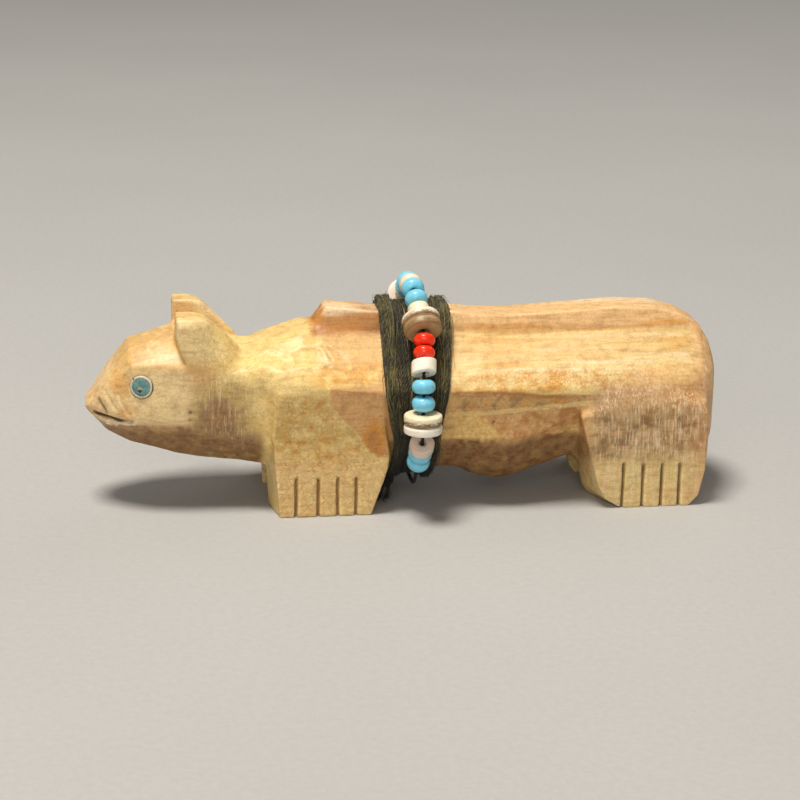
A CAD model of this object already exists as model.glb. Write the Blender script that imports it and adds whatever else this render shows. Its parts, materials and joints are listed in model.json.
"""The looks of a carved stone mountain lion, wound with waxed thread and hung with a strand of beads.

Every shape here is worked out in millimetres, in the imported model's own frame: +Z is up, the nose points
towards -X and the animal's left side, which the camera sees, is towards -Y.
"""

import json
import math

import bmesh
import bpy
import numpy as np
from mathutils import Matrix, Vector
from mathutils.geometry import convex_hull_2d


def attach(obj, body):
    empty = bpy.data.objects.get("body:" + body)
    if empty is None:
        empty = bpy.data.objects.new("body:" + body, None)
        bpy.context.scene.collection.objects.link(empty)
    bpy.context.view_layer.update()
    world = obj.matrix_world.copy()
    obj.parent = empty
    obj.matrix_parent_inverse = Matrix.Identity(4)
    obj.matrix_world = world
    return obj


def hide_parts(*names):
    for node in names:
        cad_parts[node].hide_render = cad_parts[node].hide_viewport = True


MM = 0.001

# The middle of the loop of string, in millimetres, the radius of its knot, and the points that the bare
# string passes under the belly, as (distance to the side of the knot, height above it).
STRAND_MIDDLE = np.array((0.35, 0.0, 10.0))
STRING_KNOT_RADIUS = 0.5
BARE_STRING = [(5.05, 0.75), (4.3, 0.2), (3.4, 0.0), (1.7, 0.0), (0.0, 0.0)]

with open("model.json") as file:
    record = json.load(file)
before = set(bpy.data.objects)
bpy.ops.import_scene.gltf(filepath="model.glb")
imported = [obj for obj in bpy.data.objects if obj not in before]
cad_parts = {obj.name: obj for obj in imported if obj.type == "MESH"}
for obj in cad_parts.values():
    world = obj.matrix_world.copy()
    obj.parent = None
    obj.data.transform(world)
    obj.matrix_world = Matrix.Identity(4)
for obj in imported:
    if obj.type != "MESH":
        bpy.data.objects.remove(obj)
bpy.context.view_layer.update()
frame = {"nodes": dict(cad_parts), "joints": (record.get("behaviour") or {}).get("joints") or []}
rng = np.random.default_rng(7)


# ---------------- number helpers

def unit(vectors):
    """Vectors of length one, along the last axis."""
    return vectors / np.linalg.norm(vectors, axis=-1, keepdims=True)


def fade(values, start, end):
    """0 at start, 1 at end, and a smooth S between them. The end may lie below the start."""
    t = np.clip((values - start) / (end - start), 0, 1)
    return t * t * (3 - 2 * t)


def within(values, low, high, soft):
    """1 between low and high, falling to 0 over a soft distance on each side."""
    return fade(values, low - soft, low + soft) * fade(values, high + soft, high - soft)


def lattice(corners, seed):
    """A repeatable number from 0 to 1 at each whole-numbered corner."""
    x, y, z = corners[..., 0], corners[..., 1], corners[..., 2]
    mixed = x * 374761393 + y * 668265263 + z * 2147483647 + seed * 1274126177
    mixed = (mixed ^ (mixed >> 13)) * 1103515245
    return ((mixed ^ (mixed >> 16)) & 0xFFFFFF) / float(0xFFFFFF)


def speckle(points, size, seed):
    """Smooth noise from -1 to 1, with lumps of about a size. The size may differ by axis."""
    cells = np.asarray(points, float) / np.asarray(size, float)
    base = np.floor(cells).astype(np.int64)
    part = cells - base
    part = part * part * (3 - 2 * part)
    total = np.zeros(len(cells))
    for dx in (0, 1):
        for dy in (0, 1):
            for dz in (0, 1):
                weight = (np.abs(1 - dx - part[:, 0]) * np.abs(1 - dy - part[:, 1])
                          * np.abs(1 - dz - part[:, 2]))
                total += weight * lattice(base + np.array((dx, dy, dz)), seed)
    return 2 * total - 1


def layered(points, size, seed, layers):
    """Noise with finer layers over coarse ones, from about -1 to 1."""
    total, weight, scale = 0.0, 1.0, np.asarray(size, float)
    for layer in range(layers):
        total = total + weight * speckle(points, scale, seed + layer)
        weight *= 0.55
        scale = scale / 2.1
    return total / 1.6


def distance(points, place):
    """How far each point is from a place."""
    return np.linalg.norm(points - np.array(place), axis=1)


def blob(u, v, middle, size):
    """1 at the middle and falling off smoothly over the size, in two directions."""
    return np.exp(-((u - middle[0]) / size[0]) ** 2 - ((v - middle[1]) / size[1]) ** 2)


def travelled(line):
    """How far along a line each of its points is."""
    return np.concatenate([[0], np.cumsum(np.linalg.norm(np.diff(line, axis=0), axis=1))])


def line_distance(points, line):
    """How far each point is from a line through some corners, and how far along it is, from 0 to 1."""
    line = np.asarray(line, float)
    lengths = np.linalg.norm(np.diff(line, axis=0), axis=1)
    starts = travelled(line)
    best = np.full(len(points), np.inf)
    along = np.zeros(len(points))
    for a, b, length, start in zip(line[:-1], line[1:], lengths, starts):
        t = np.clip(((points - a) @ (b - a)) / length ** 2, 0, 1)
        away = np.linalg.norm(points - a - t[:, None] * (b - a), axis=1)
        nearer = away < best
        best[nearer] = away[nearer]
        along[nearer] = (start + t[nearer] * length) / starts[-1]
    return best, along


def resample(points, count, closed):
    """The same line with evenly spaced points."""
    points = np.asarray(points, float)
    if closed:
        points = np.vstack([points, points[:1]])
    length = travelled(points)
    places = np.linspace(0, length[-1], count, endpoint=not closed)
    return np.column_stack([np.interp(places, length, column) for column in points.T])


def circle(sides):
    """Evenly spaced angles round a full turn."""
    return np.linspace(0, 2 * math.pi, sides, endpoint=False)


# ---------------- mesh helpers

def mesh_points(mesh):
    points = np.empty(len(mesh.vertices) * 3)
    mesh.vertices.foreach_get("co", points)
    return points.reshape(-1, 3)


def node_points(name):
    """A CAD node's vertices, in millimetres."""
    return mesh_points(frame["nodes"][name].data) / MM


def write_values(mesh, label, values):
    """Stores one number for each vertex, which a material can read."""
    mesh.attributes.new(label, "FLOAT", "POINT").data.foreach_set("value", values.astype(np.float32))


def new_object(name, data):
    """A Blender object that holds some data, put in the scene."""
    item = bpy.data.objects.new(name, data)
    bpy.context.scene.collection.objects.link(item)
    return item


def set_smooth(mesh, material):
    mesh.polygons.foreach_set("use_smooth", np.ones(len(mesh.polygons), bool))
    mesh.materials.clear()
    mesh.materials.append(material)


def grid_faces(rows, columns, rows_closed=False):
    """Quads between rows of points. Each row is a closed ring."""
    faces = []
    for i in range(rows if rows_closed else rows - 1):
        here, there = i * columns, ((i + 1) % rows) * columns
        for j in range(columns):
            k = (j + 1) % columns
            faces.append((here + j, here + k, there + k, there + j))
    return faces


class Shape:
    """Vertices and faces that grow piece by piece, with named numbers for each vertex."""

    def __init__(self):
        self.points, self.faces, self.values, self.count = [], [], {}, 0

    def add(self, points, faces, **values):
        self.points.append(points)
        self.faces += [tuple(self.count + i for i in face) for face in faces]
        for name, value in values.items():
            self.values.setdefault(name, []).append(np.broadcast_to(value, len(points)))
        self.count += len(points)

    def piece(self, name, material, body, nodes, place=None):
        """Makes the Blender object, which stands for some CAD nodes and rides on a body."""
        points = np.vstack(self.points) * MM
        mesh = bpy.data.meshes.new(name)
        mesh.from_pydata(points.tolist(), [], self.faces)
        for label, parts in self.values.items():
            write_values(mesh, label, np.concatenate(parts))
        finish_piece(name, mesh, material, body, nodes, place)


def finish_piece(name, mesh, material, body, nodes, place=None):
    """Puts a finished mesh in the scene, in place of some CAD nodes."""
    set_smooth(mesh, material)
    item = new_object(name, mesh)
    if place is not None:
        item.matrix_world = place
    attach(item, body)
    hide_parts(*nodes)


def directions_across(points):
    """Two directions across a line at each of its points, which turn as little as can be."""
    along = unit(np.gradient(points, axis=0))
    side = np.cross(along[0], (0.31, 0.23, 0.92))
    sides = np.empty_like(points)
    for i, direction in enumerate(along):
        side = side - direction * np.dot(side, direction)
        side = side / np.linalg.norm(side)
        sides[i] = side
    return sides, np.cross(along, sides)


def end_faces(rows, columns):
    """The two flat ends of a row of rings."""
    count = rows * columns
    return [tuple(range(columns))[::-1], tuple(range(count - columns, count))]


def add_tube(shape, points, radius, sides, shade, turn=0.0):
    """A round tube along a line. The radius and the turn of its section may change from point to point."""
    first, second = directions_across(points)
    count = len(points)
    angle = circle(sides) + np.broadcast_to(turn, count)[:, None]
    radius = np.broadcast_to(radius, count)[:, None, None]
    ring = np.cos(angle)[..., None] * first[:, None] + np.sin(angle)[..., None] * second[:, None]
    around = (points[:, None] + radius * ring).reshape(-1, 3)
    faces = grid_faces(count, sides) + end_faces(count, sides)
    shape.add(around, faces, thread_along=np.repeat(travelled(points), sides), thread_shade=shade,
              thread_x=np.cos(angle).ravel(), thread_y=np.sin(angle).ravel())


# A ply's radius as a share of its thread's, how many sides it has, and how much the plies differ in shade.
PLY_SHARE = 0.54
PLY_SIDES = 6
PLY_SHADES = 0.35


def add_plied(shape, points, radius, plies, pitch, shade=0.0):
    """A thread of several plies that twist round each other. One turn of the twist is the pitch long."""
    first, second = directions_across(points)
    ply = radius * PLY_SHARE
    for number in range(plies):
        turn = 2 * math.pi * (travelled(points) / pitch + number / plies)
        offset = np.cos(turn)[:, None] * first + np.sin(turn)[:, None] * second
        own_shade = shade + PLY_SHADES * rng.random()
        add_tube(shape, points + (radius - ply) * offset, ply, PLY_SIDES, own_shade, turn)


# ---------------- material helpers

class Finish:
    """A material's nodes. Its coordinates are the piece's own, in millimetres."""

    def __init__(self, name):
        self.material = bpy.data.materials.new(name)
        self.material.use_nodes = True
        self.tree = self.material.node_tree
        self.shader = self.tree.nodes["Principled BSDF"]
        place = self.node("ShaderNodeTexCoord")
        scale = self.node("ShaderNodeMapping")
        scale.inputs["Scale"].default_value = (1 / MM,) * 3
        self.join(place.outputs["Object"], scale.inputs["Vector"])
        self.place = scale.outputs["Vector"]

    def node(self, kind, **settings):
        made = self.tree.nodes.new(kind)
        for name, value in settings.items():
            setattr(made, name, value)
        return made

    def join(self, source, target):
        if isinstance(source, bpy.types.NodeSocket):
            self.tree.links.new(source, target)
        else:
            target.default_value = source

    def set(self, **values):
        for name, value in values.items():
            self.join(value, self.shader.inputs[name.replace("_", " ")])

    def math(self, operation, first, second):
        made = self.node("ShaderNodeMath", operation=operation)
        self.join(first, made.inputs[0])
        self.join(second, made.inputs[1])
        return made.outputs[0]

    def times(self, first, second):
        return self.math("MULTIPLY", first, second)

    def plus(self, first, second):
        return self.math("ADD", first, second)

    def attribute(self, name, output="Fac"):
        return self.node("ShaderNodeAttribute", attribute_name=name).outputs[output]

    def stretched(self, place, scale):
        made = self.node("ShaderNodeMapping")
        made.inputs["Scale"].default_value = scale
        self.join(place, made.inputs["Vector"])
        return made.outputs["Vector"]

    def noise(self, size, detail, roughness, place=None, stretch=(1, 1, 1), distortion=0.0):
        """Noise from 0 to 1 with lumps of about a size. stretch makes them longer along an axis."""
        made = self.node("ShaderNodeTexNoise")
        made.inputs["Scale"].default_value = 1 / size
        made.inputs["Detail"].default_value = detail
        made.inputs["Roughness"].default_value = roughness
        made.inputs["Distortion"].default_value = distortion
        scaled = self.stretched(self.place if place is None else place, [1 / s for s in stretch])
        self.join(scaled, made.inputs["Vector"])
        return made.outputs["Fac"]

    def cracks(self, size, bend):
        """How far each place is from the wandering edges of cells of about a size."""
        wander = self.node("ShaderNodeTexNoise")
        wander.inputs["Scale"].default_value = 1 / size
        self.join(self.place, wander.inputs["Vector"])
        moved = self.node("ShaderNodeVectorMath", operation="MULTIPLY_ADD")
        self.join(wander.outputs["Color"], moved.inputs[0])
        moved.inputs[1].default_value = (bend,) * 3
        self.join(self.place, moved.inputs[2])
        cells = self.node("ShaderNodeTexVoronoi", feature="DISTANCE_TO_EDGE")
        cells.inputs["Scale"].default_value = 1 / size
        self.join(moved.outputs[0], cells.inputs["Vector"])
        return cells.outputs["Distance"]

    def height(self):
        """The height in the piece's own axes, in millimetres."""
        split = self.node("ShaderNodeSeparateXYZ")
        self.join(self.place, split.inputs[0])
        return split.outputs["Z"]

    def between(self, value, low, high, start=0.0, end=1.0):
        """Value, from low to high, brought to start to end and held there outside."""
        made = self.node("ShaderNodeMapRange")
        for name, setting in (("From Min", low), ("From Max", high), ("To Min", start), ("To Max", end)):
            made.inputs[name].default_value = setting
        self.join(value, made.inputs["Value"])
        return made.outputs["Result"]

    def mix(self, share, first, second, blend="MIX"):
        made = self.node("ShaderNodeMix", data_type="RGBA", blend_type=blend)
        self.join(share, made.inputs["Factor"])
        for source, target in ((first, made.inputs[6]), (second, made.inputs[7])):
            self.join(source if isinstance(source, bpy.types.NodeSocket) else (*source, 1.0), target)
        return made.outputs[2]

    def ramp(self, value, stops):
        made = self.node("ShaderNodeValToRGB")
        elements = made.color_ramp.elements
        while len(elements) < len(stops):
            elements.new(0.5)
        for element, (position, colour) in zip(elements, stops):
            element.position = position
            element.color = (*colour, 1.0)
        self.join(value, made.inputs["Fac"])
        return made.outputs["Color"]

    def combined(self, x, y, z):
        made = self.node("ShaderNodeCombineXYZ")
        for source, target in zip((x, y, z), made.inputs):
            self.join(source, target)
        return made.outputs[0]

    def relief(self, height, depth, strength):
        """Bump from a height of 0 to 1 that stands for a depth in millimetres."""
        made = self.node("ShaderNodeBump")
        made.inputs["Distance"].default_value = depth * MM
        made.inputs["Strength"].default_value = strength
        self.join(height, made.inputs["Height"])
        self.join(made.outputs["Normal"], self.shader.inputs["Normal"])


# ---------------- the stone

# The mesh's quads, in millimetres, and how many rounds soften its edges, soften even the crisp detail, and
# find how far each point stands out.
VOXEL = 0.12
EDGE_ROUNDS = 16
DETAIL_ROUNDS = 2
PROUD_ROUNDS = 10

# Where the polishing melted the edges away, as (lowest corner, highest corner) on either side, and how many
# rounds it took: the backs of the ears, the tops of the haunches and the belly.
MELTED = [((-20.2, 2.0, 12.6), (-12.6, 8.0, 20.0)), ((13.0, 5.0, 9.6), (29.0, 9.0, 14.0)),
          ((2.0, -9.0, 0.5), (17.0, 9.0, 5.5))]
MELTING_ROUNDS = 110

# Lines worked into the left side of the face, in millimetres. All but the scratch are mirrored on the right.
MOUTH_LINE = [(-30.2, -1.0, 9.45), (-29.3, -1.9, 9.35), (-28.4, -2.45, 9.1), (-27.2, -3.2, 9.0),
              (-26.3, -4.3, 9.3)]
NOSTRIL_LINE = [(-29.35, -2.4, 11.0), (-29.1, -2.65, 10.5), (-28.7, -2.95, 9.95), (-28.3, -2.8, 9.4)]
SNOUT_SCRATCH = [(-27.6, -3.5, 12.0), (-27.3, -3.8, 10.9), (-26.6, -4.2, 9.6)]
SNOUT_SCORES = [(-28.8, -2.6, 12.0), (-28.3, -3.2, 11.0), (-27.6, -3.6, 9.95)]
LIP_LINE = [(-29.2, -2.2, 8.95), (-28.0, -2.8, 8.6), (-27.2, -3.4, 8.75), (-26.0, -4.1, 8.9)]

# Small natural pits: (place, radius, depth).
PITS = [((-20.9, -5.0, 10.1), 0.2, 0.25), ((-20.95, -4.95, 9.4), 0.13, 0.14),
        ((7.55, -6.75, 8.85), 0.15, 0.22), ((-25.96, -3.7, 13.12), 0.14, 0.2), ((12.6, 6.8, 9.3), 0.2, 0.2),
        ((-19.4, 5.1, 9.6), 0.22, 0.2), ((22.5, 7.5, 6.6), 0.18, 0.16)]

# The shoulders were flattened by a few cuts, which left hollows and sharp crests between them, and fine
# streaks behind the left one. A hollow is (middle, radius, depth); the crests and streaks are lines.
HOLLOWS = [((-12.9, -4.7, 14.8), 1.25, 0.20), ((-9.9, -4.7, 15.1), 1.35, 0.18),
           ((-7.2, -4.4, 15.1), 1.0, 0.07), ((-12.2, 4.6, 14.9), 1.4, 0.20), ((-9.2, 4.5, 15.2), 1.2, 0.16)]
CRESTS = [
    [(-14.96, -4.56, 14.45), (-14.28, -3.6, 15.1), (-13.42, -3.3, 15.6), (-12.37, -4.09, 15.4),
     (-11.06, -4.94, 14.95), (-10.9, -5.3, 14.6)],
    [(-11.23, -4.1, 15.6), (-10.08, -3.8, 15.85), (-8.87, -3.6, 15.9), (-8.42, -4.05, 15.4),
     (-8.0, -5.13, 14.45), (-9.1, -5.5, 14.3), (-10.48, -5.66, 14.35), (-11.84, -5.95, 14.2)],
    [(-13.9, 4.4, 14.6), (-13.2, 3.5, 15.4), (-11.8, 4.0, 15.5), (-10.6, 5.2, 14.6), (-9.4, 4.2, 15.6),
     (-8.0, 4.4, 15.2), (-7.6, 5.3, 14.3)],
]
STREAKS = [
    [(-8.72, -3.18, 16.11), (-8.33, -4.05, 15.38), (-7.8, -5.21, 14.35)],
    [(-8.17, -3.53, 15.81), (-7.78, -4.2, 15.21), (-7.29, -4.85, 14.62)],
    [(-7.7, -3.52, 15.79), (-6.98, -3.82, 15.47), (-6.37, -4.22, 15.09)],
]

# The wheel that hollowed the neck also sloped the backs of the ears. Below this line, given as places along
# the body and heights, their sides are upright; above it they lean inwards by the slope.
EAR_BACK_LINE = ([-19.6, -19.0, -18.5, -17.9, -17.2, -16.2, -15.3],
                 [18.6, 16.6, 15.2, 14.5, 14.05, 13.85, 14.1])
EAR_BACK_SLOPE = 0.62
EAR_HALF_WIDTH = 5.12

# The saw cuts between the toes: (places along the body, the foot's half width, the height they reach).
TOE_CUTS = [((-11.2, -9.1, -7.25, -5.5), 6.95, 4.0), ((20.2, 22.15, 24.0, 25.75), 7.5, 4.55)]
TOE_CUT_HALF_WIDTH = 0.085
TOE_CUT_DEPTH = 0.6


def neighbour_mean(points, edges, counts):
    """The middle of each point's neighbours."""
    first, second = edges.T
    total = np.empty_like(points)
    for axis in range(points.shape[1]):
        column = points[:, axis]
        total[:, axis] = (np.bincount(first, column[second], len(points))
                          + np.bincount(second, column[first], len(points)))
    return total / counts[:, None]


def point_normals(mesh):
    mesh.update()
    normals = np.empty(len(mesh.vertices) * 3)
    mesh.vertex_normals.foreach_get("vector", normals)
    return normals.reshape(-1, 3)


def set_points(mesh, points):
    mesh.vertices.foreach_set("co", points.ravel().astype(np.float32))
    mesh.update()


def remeshed_stone():
    """The CAD stone as an even mesh of small quads, in millimetres."""
    work = bmesh.new()
    work.from_mesh(frame["nodes"]["stone_body"].data)
    bmesh.ops.scale(work, vec=(1 / MM,) * 3, verts=work.verts)
    bmesh.ops.remove_doubles(work, verts=work.verts, dist=1e-4)
    mesh = bpy.data.meshes.new("stone_start")
    work.to_mesh(mesh)
    work.free()
    item = new_object("stone_start", mesh)
    remesh = item.modifiers.new("remesh", "REMESH")
    remesh.mode = "VOXEL"
    remesh.voxel_size = VOXEL
    evaluated = item.evaluated_get(bpy.context.evaluated_depsgraph_get())
    result = bpy.data.meshes.new_from_object(evaluated)
    bpy.data.objects.remove(item)
    bpy.data.meshes.remove(mesh)
    return result


def mirrored(line):
    return [(x, -y, z) for x, y, z in line]


def detail_places(points):
    """1 where the carving has small crisp detail that the polishing left: eyes, mouth and toes."""
    keep = np.zeros(len(points))
    for side in ("left", "right"):
        middle = node_points(f"eye_inlay_{side}").mean(0)
        keep = np.maximum(keep, fade(distance(points, middle), 2.1, 1.5))
    for line in (MOUTH_LINE, mirrored(MOUTH_LINE)):
        keep = np.maximum(keep, fade(line_distance(points, line)[0], 1.0, 0.5))
    toes = fade(points[:, 2], 4.3, 3.6) * fade(np.abs(points[:, 1]), 6.0, 6.4)
    return np.maximum(keep, toes)


def carve(points, normals, line, width, depth):
    """Cuts a line into the surface, deepest at its middle and running out at its ends. A negative depth
    raises a crest."""
    away, along = line_distance(points, line)
    cut = depth * np.exp(-(away / width) ** 2) * fade(along, 0.0, 0.12) * fade(along, 1.0, 0.85)
    points -= normals * cut[:, None]


def toe_cut_share(points):
    """1 inside the saw cuts between the toes, and 0 outside them."""
    x, y, z = points.T
    share = np.zeros(len(points))
    for number, (places, half_width, top) in enumerate(TOE_CUTS):
        foot = fade(np.abs(y), half_width - 1.3, half_width - 1.0)
        for place in places:
            wander = 0.05 * speckle(points, 1.2, 61 + number)
            reach = top + 0.25 * math.sin(7.0 * place)
            inside = fade(np.abs(x - place - wander), TOE_CUT_HALF_WIDTH + 0.08, TOE_CUT_HALF_WIDTH)
            share = np.maximum(share, inside * foot * fade(z, reach + 0.25, reach - 0.45))
    return share


def soften(points, edges, counts, calm):
    """The points with the ground edges rounded, least of all where there is crisp detail."""
    x = points[:, 0]
    polished = 0.22 + 0.28 * np.maximum(fade(x, -20.5, -23.0), fade(x, 24.0, 27.0))
    weight = polished * calm
    for step in range(EDGE_ROUNDS):
        share = np.maximum(weight, 0.5 if step < DETAIL_ROUNDS else 0.0)[:, None]
        points = points + share * (neighbour_mean(points, edges, counts) - points)
    return points


def slope_ears(points, slow):
    """Leans the backs of the ears inwards."""
    x, y, z = points.T
    above = z - np.interp(x, *EAR_BACK_LINE)
    lean = EAR_HALF_WIDTH - EAR_BACK_SLOPE * np.maximum(above, 0) + 0.05 * slow
    ear_back = (x > EAR_BACK_LINE[0][0]) & (x < EAR_BACK_LINE[0][-1]) & (above > 0)
    points[:, 1] = np.where(ear_back, np.sign(y) * np.minimum(np.abs(y), lean), y)


def melt(points, edges, counts):
    """Takes the edges away altogether where the polishing did."""
    x, y, z = points.T
    soft = np.zeros(len(points))
    for (x0, y0, z0), (x1, y1, z1) in MELTED:
        inside = within(x, x0, x1, 0.5) * within(np.abs(y), y0, y1, 0.5) * within(z, z0, z1, 0.5)
        soft = np.maximum(soft, 0.6 * inside)
    melting = np.flatnonzero(soft > 0.01)
    for _ in range(MELTING_ROUNDS):
        mean = neighbour_mean(points, edges, counts)
        points[melting] += soft[melting, None] * (mean[melting] - points[melting])


def mark_body(points, normals, calm):
    """The flat cuts on the shoulders, lengthwise furrows along the back and upright file marks on the legs."""
    x, y, z = points.T
    for middle, radius, depth in HOLLOWS:
        points -= normals * (depth * np.exp(-(distance(points, middle) / radius) ** 4))[:, None]
    for line in CRESTS:
        carve(points, normals, line, 0.2, -0.10)
    for line in STREAKS:
        carve(points, normals, line, 0.12, -0.05)
    furrows = layered(points, (6.0, 0.42, 0.42), 41, 2)
    back = within(z, 12.8, 18.6, 0.5) * fade(x, 2.0, 5.0) * fade(x, 28.5, 26.5)
    points += normals * (0.045 * back * furrows)[:, None]
    filed = layered(points, (0.4, 0.5, 4.0), 71, 2)
    flank = fade(np.abs(y), 4.5, 5.8) * np.maximum(fade(x, 15.5, 18.0), within(x, -18.5, -14.5, 0.6))
    points += normals * (0.028 * flank * calm * filed)[:, None]


def cut_toes(points):
    x, y = points[:, :2].T
    cut = toe_cut_share(points)
    for places, half_width, _ in TOE_CUTS:
        foot = (np.abs(y) < half_width + 0.1) & (x > min(places) - 1) & (x < max(places) + 1)
        floor = np.where(foot, half_width - TOE_CUT_DEPTH * cut, np.inf)
        points[:, 1] = np.sign(y) * np.minimum(np.abs(y), floor)


def mark_face(points, normals):
    """The nostrils, the marks on the snout and the rough lips."""
    for line in (NOSTRIL_LINE, mirrored(NOSTRIL_LINE)):
        carve(points, normals, line, 0.15, 0.16)
    carve(points, normals, SNOUT_SCRATCH, 0.13, 0.08)
    carve(points, normals, mirrored(SNOUT_SCORES), 0.13, 0.08)
    carve(points, normals, SNOUT_SCORES, 0.18, 0.1)
    for line in (LIP_LINE, mirrored(LIP_LINE)):
        near = fade(line_distance(points, line)[0], 0.75, 0.2)
        points -= normals * (0.18 * near * np.maximum(0, speckle(points, (0.8, 0.8, 0.5), 51)))[:, None]


def shape_stone(mesh):
    """Softens the ground edges, then adds the marks of the carver's wheel and file. Gives the points, and how
    far each stands out of its surroundings."""
    points = mesh_points(mesh)
    edges = np.empty(len(mesh.edges) * 2, np.int64)
    mesh.edges.foreach_get("vertices", edges)
    edges = edges.reshape(-1, 2)
    counts = np.bincount(edges.ravel(), minlength=len(points))
    points = soften(points, edges, counts, 1 - detail_places(points))
    set_points(mesh, points)
    normals = point_normals(mesh)

    slow = layered(points, 3.2, 11, 2)
    ripple = layered(points, (1.1, 1.1, 1.6), 21, 2)
    calm = 1 - detail_places(points)
    points += normals * (calm * (0.05 * slow + 0.018 * ripple))[:, None]
    slope_ears(points, slow)
    melt(points, edges, counts)
    set_points(mesh, points)
    normals = point_normals(mesh)

    mark_body(points, normals, calm)
    cut_toes(points)
    mark_face(points, normals)
    for place, radius, depth in PITS:
        points -= normals * (depth * np.exp(-(distance(points, place) / radius) ** 2))[:, None]
    points[:, 2] = np.maximum(points[:, 2], 0)
    set_points(mesh, points)

    relaxed = points
    for _ in range(PROUD_ROUNDS):
        relaxed = neighbour_mean(relaxed, edges, counts)
    proud = np.sum((points - relaxed) * point_normals(mesh), axis=1)
    return points, proud


# The stone's colours, as linear red, green and blue.
CREAM = np.array((0.86, 0.64, 0.27))
BUTTER = np.array((0.90, 0.66, 0.22))
TAN = np.array((0.64, 0.40, 0.12))
OLIVE = np.array((0.54, 0.38, 0.115))
PINK = np.array((0.82, 0.48, 0.23))
ROSE = np.array((0.62, 0.32, 0.115))
HONEY = np.array((0.70, 0.38, 0.135))
ORANGE = np.array((0.74, 0.34, 0.05))
AMBER = np.array((0.52, 0.22, 0.045))
RUST = np.array((0.46, 0.16, 0.02))
BROWN = np.array((0.27, 0.15, 0.06))
MAUVE = np.array((0.46, 0.27, 0.13))
CHALK = np.array((0.95, 0.82, 0.58))
PALE = np.array((0.95, 0.76, 0.40))
DARK = np.array((0.05, 0.035, 0.02))


# The front edge of the pinkish wedge on the shoulder, as heights and places along the body, and the top and
# foot of the rusty band behind the wrap, as places along the body and heights.
WEDGE_EDGE = ([5.6, 6.9, 8.1, 9.1, 10.1, 11.1, 13.0], [-3.4, -4.6, -5.4, -6.2, -7.3, -8.1, -8.1])
BAND_TOP = ([4.0, 8.0, 12.5, 17.6, 21.5, 25.0], [12.05, 12.0, 11.5, 11.3, 11.8, 12.6])
BAND_FOOT = ([4.0, 8.0, 14.0, 17.6, 19.5, 22.0], [9.95, 10.05, 10.5, 10.85, 11.15, 11.6])


class StonePaint:
    """The stone's colour at each point, the noises that it is painted by, and the areas painted so far."""

    def __init__(self, points, proud):
        self.points, self.proud = points, proud
        self.x, y, self.z = points.T
        self.side = np.abs(y)
        self.warp = layered(points, 4.0, 101, 3)
        self.fine = layered(points, 1.1, 111, 3)
        self.grain = layered(points, 0.42, 121, 2)
        self.lengthwise = layered(points, (9.0, 0.8, 0.5), 131, 3)
        self.upright = layered(points, (0.32, 0.6, 4.0), 141, 2)
        self.mottle = layered(points, 0.75, 171, 4)
        self.rear = fade(self.x, 1.0, 6.0)
        self.colour = np.tile(CREAM, (len(points), 1))

    def lay(self, paint, share):
        share = np.clip(share, 0, 1)[:, None]
        self.colour = self.colour * (1 - share) + paint * share


def paint_head(stone):
    """Pinkish cheeks, an orange brow and snout, and brown clouds on the neck."""
    x, z, side, lay = stone.x, stone.z, stone.side, stone.lay
    warp, fine, grain, mottle = stone.warp, stone.fine, stone.grain, stone.mottle
    head = fade(x, -14.0, -16.5)
    face = fade(x, -19.5, -21.5)
    lay(PINK, 0.25 * face * fade(z, 14.9, 13.7))
    lay(CHALK, 0.25 * face * fade(z, 14.9, 13.7))
    lay(CREAM, 0.35 * blob(x, z, (-23.5, 11.2), (1.8, 1.8)))
    brow = blob(x, z, (-27.3, 12.7), (1.15, 1.7))
    lay(ORANGE, 0.6 * fade(brow + 0.3 * mottle, 0.15, 0.95))
    lay(PINK, 0.4 * fade(x, -28.0, -29.5))
    corner = blob(x, z, (-26.8, 9.9), (0.7, 0.8))
    lay(ORANGE, 0.7 * corner)
    jaw = fade(z + 0.12 * fine, 9.0, 8.4) * face * fade(x, -30.0, -28.8)
    lay(ROSE, 0.6 * jaw)
    lay(BROWN, 0.75 * jaw * fade(mottle + 0.5 * (8.0 - z), -0.6, 0.4))
    lay(OLIVE, 0.75 * head * (1 - face) * fade(z + warp, 14.5, 11.5))
    ears = fade(z, 15.4, 16.2) * fade(x, -16.5, -18.0) * fade(side, 1.6, 2.2)
    lay(BUTTER, 0.6 * ears)
    inner_ear = ears * within(side, 1.6, 2.5, 0.2)
    lay(CHALK, 0.45 * inner_ear)
    neck = head * fade(x + 0.5 * fine, -21.8, -19.4) * fade(side, 3.0, 4.4)
    cloud = blob(x, z, (-18.6, 9.6), (2.7, 2.4))
    lay(MAUVE, 0.85 * neck * fade(cloud + 0.55 * mottle, 0.05, 0.75))
    lay(BROWN, 0.5 * neck * fade(cloud + 0.7 * mottle, 0.3, 0.95))
    lay(RUST, 0.3 * neck * fade(cloud + 0.7 * mottle, 0.75, 1.25))
    behind_ear = blob(x, z, (-19.6, 14.2), (1.5, 1.9)) * fade(side, 3.9, 4.8)
    lay(ROSE, 0.62 * fade(behind_ear + 0.2 * fine, 0.12, 0.9))
    under = fade(z + 0.4 * warp, 9.4, 6.8) * fade(x, -13.6, -14.6)
    lay(BROWN, 0.95 * under)
    lay(RUST, 0.25 * under * fade(mottle, -0.1, 0.4))
    lay(DARK, 0.35 * under * fade(mottle + 0.3 * grain, 0.0, 0.5))
    lay(TAN, 0.3 * under * fade(mottle, -0.15, -0.5))
    stone.head, stone.neck, stone.under = head, neck, under


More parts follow.
